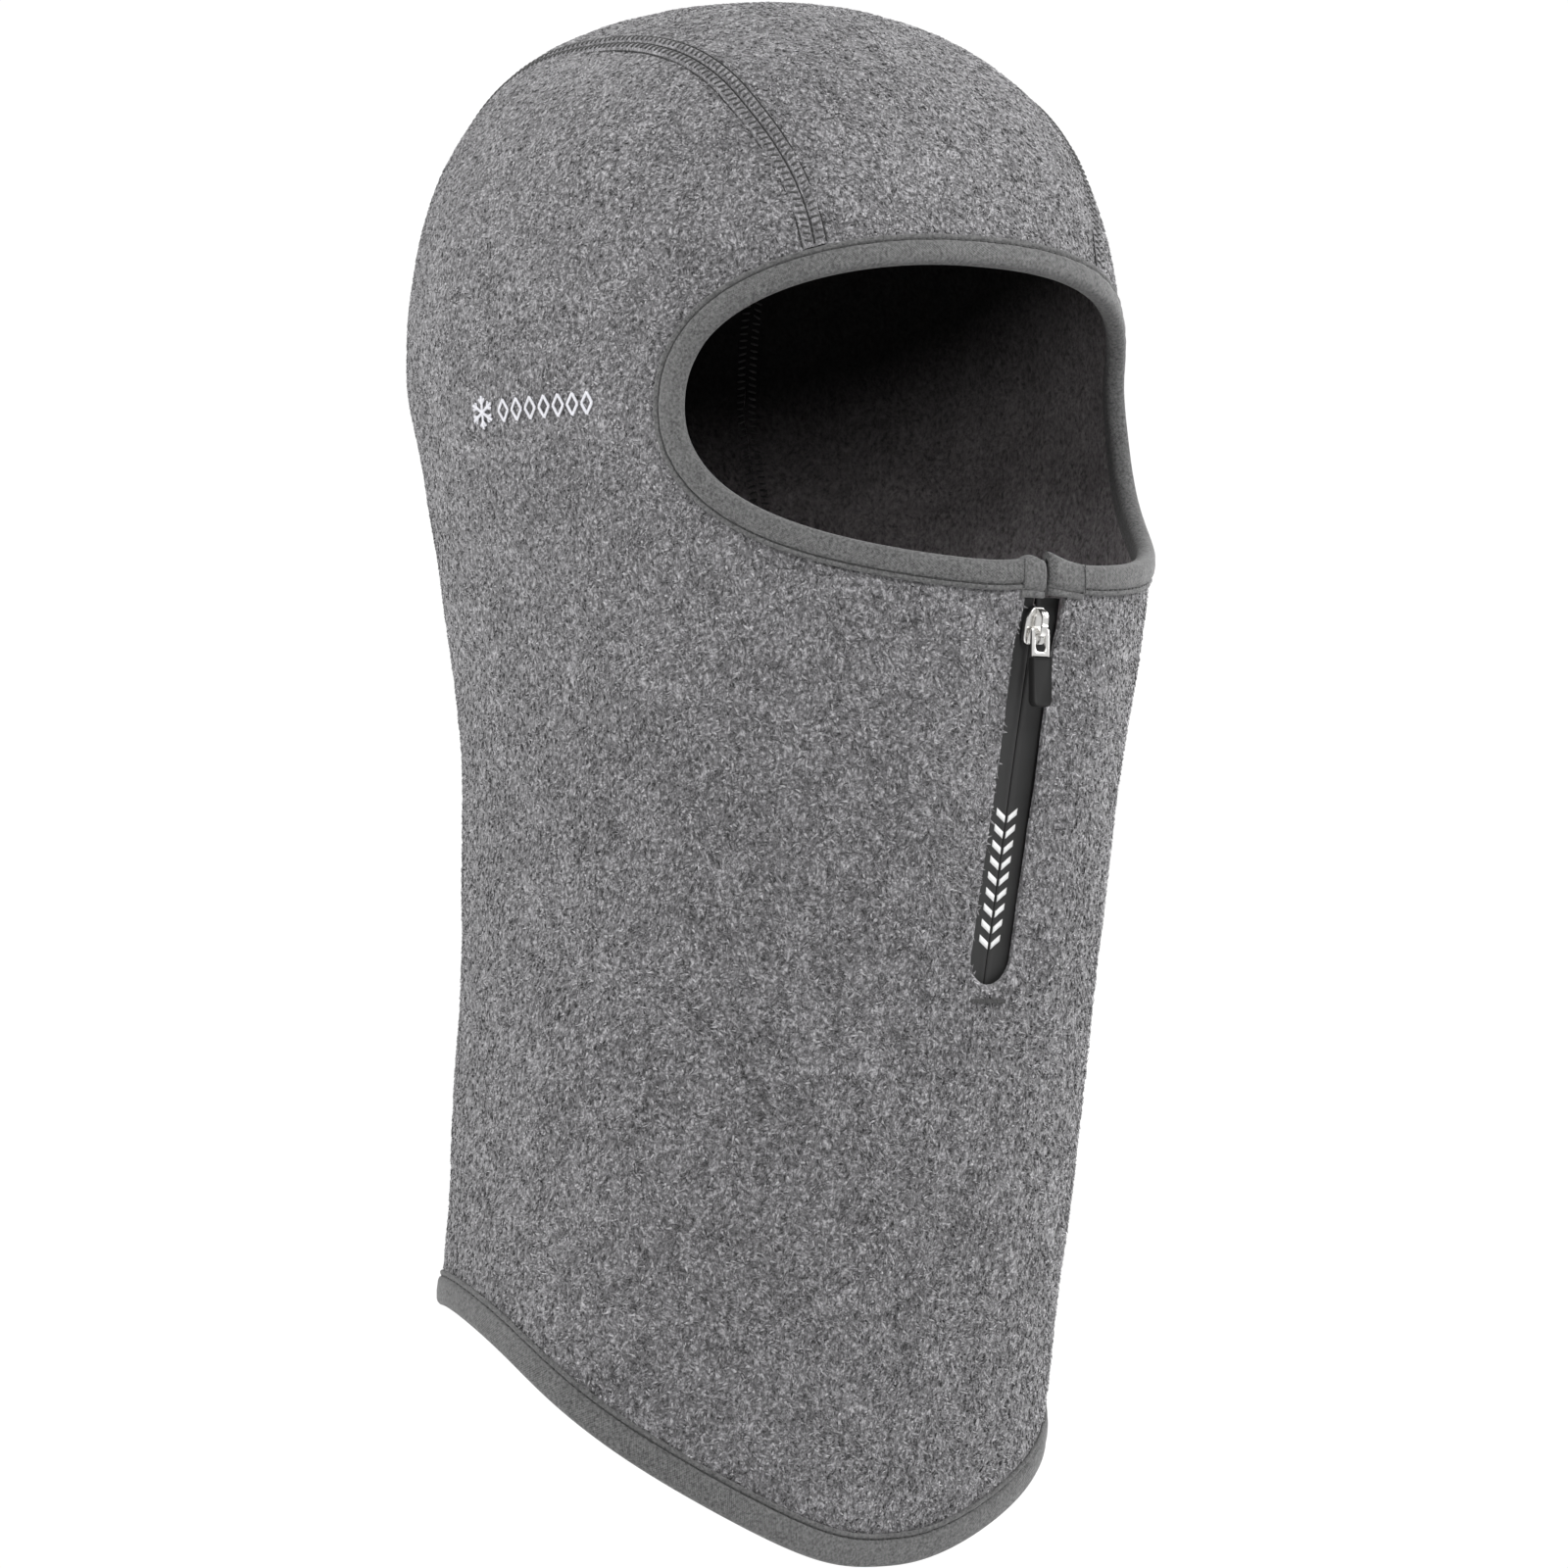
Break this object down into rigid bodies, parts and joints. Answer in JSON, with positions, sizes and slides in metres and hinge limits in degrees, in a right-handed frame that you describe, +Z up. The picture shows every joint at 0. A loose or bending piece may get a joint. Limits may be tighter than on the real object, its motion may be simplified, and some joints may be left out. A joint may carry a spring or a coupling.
{
  "type": "balaclava",
  "caption": "Fleece balaclava with a bound face opening, crown seams and a short chin zip that slides open over a hinged pull.",
  "frame": {"origin": "inside of the crown at the point where the top of the head carries the garment", "axes": "+Z up, -Y is where the face looks, +X is the wearer's left"},
  "size_m": [0.1799, 0.1997, 0.4118],
  "materials": {
    "fleece": "brushed heather-grey fleece, soft matt pile",
    "edge_knit": "smooth mid-grey elastic knit binding",
    "grey_thread": "grey polyester sewing thread",
    "white_thread": "white rayon embroidery thread",
    "zip_film": "black polyurethane-laminated zip tape",
    "coil_nylon": "black nylon zip coil",
    "nickel": "bright nickel-plated die-cast zinc",
    "grip_rubber": "black moulded rubber grip",
    "backing_felt": "thin non-woven stabiliser"
  },
  "bodies": {
    "hood": {"crown_panel": "fleece", "wrap_panel": "fleece", "face_binding": "edge_knit", "face_stitching": "grey_thread", "hem_binding": "edge_knit", "hem_stitching": "grey_thread", "right_binding_end": "edge_knit", "left_binding_end": "edge_knit", "right_crown_seam": "grey_thread", "left_crown_seam": "grey_thread", "side_embroidery": "white_thread", "embroidery_backing": "backing_felt", "zip_foot_bartack": "grey_thread", "bottom_stop": "nickel"},
    "slider": {"slider_body": "nickel", "slider_bridge": "nickel"},
    "pull": {"pull_link": "nickel", "pull_grip": "grip_rubber"},
    "right_flap": {"right_zip_tape": "zip_film", "right_zip_coil": "coil_nylon", "right_top_stop": "nickel"},
    "left_flap": {"left_zip_tape": "zip_film", "left_zip_coil": "coil_nylon", "left_top_stop": "nickel"}
  },
  "joints": [
    {"name": "slider_travel", "type": "slide", "parent": "hood", "child": "slider", "axis": [0, 0.2024, -0.9793], "range_m": [0, 0.085]},
    {"name": "pull_hinge", "type": "hinge", "parent": "slider", "child": "pull", "pos_m": [0, -0.11488, -0.16868], "axis": [-1, 0, 0], "range_deg": [-2, 150]},
    {"name": "right_flap_open", "type": "hinge", "parent": "hood", "child": "right_flap", "pos_m": [0, -0.09232, -0.262], "axis": [0, -0.9793, -0.2024], "range_deg": [0, 3.5]},
    {"name": "left_flap_open", "type": "hinge", "parent": "hood", "child": "left_flap", "pos_m": [0, -0.09232, -0.262], "axis": [0, -0.9793, -0.2024], "range_deg": [-3.5, 0]}
  ],
  "couplings": [
    {"joint": "right_flap_open", "follows": "slider_travel", "rad_per_m": 0.7},
    {"joint": "left_flap_open", "follows": "slider_travel", "rad_per_m": -0.7}
  ]
}
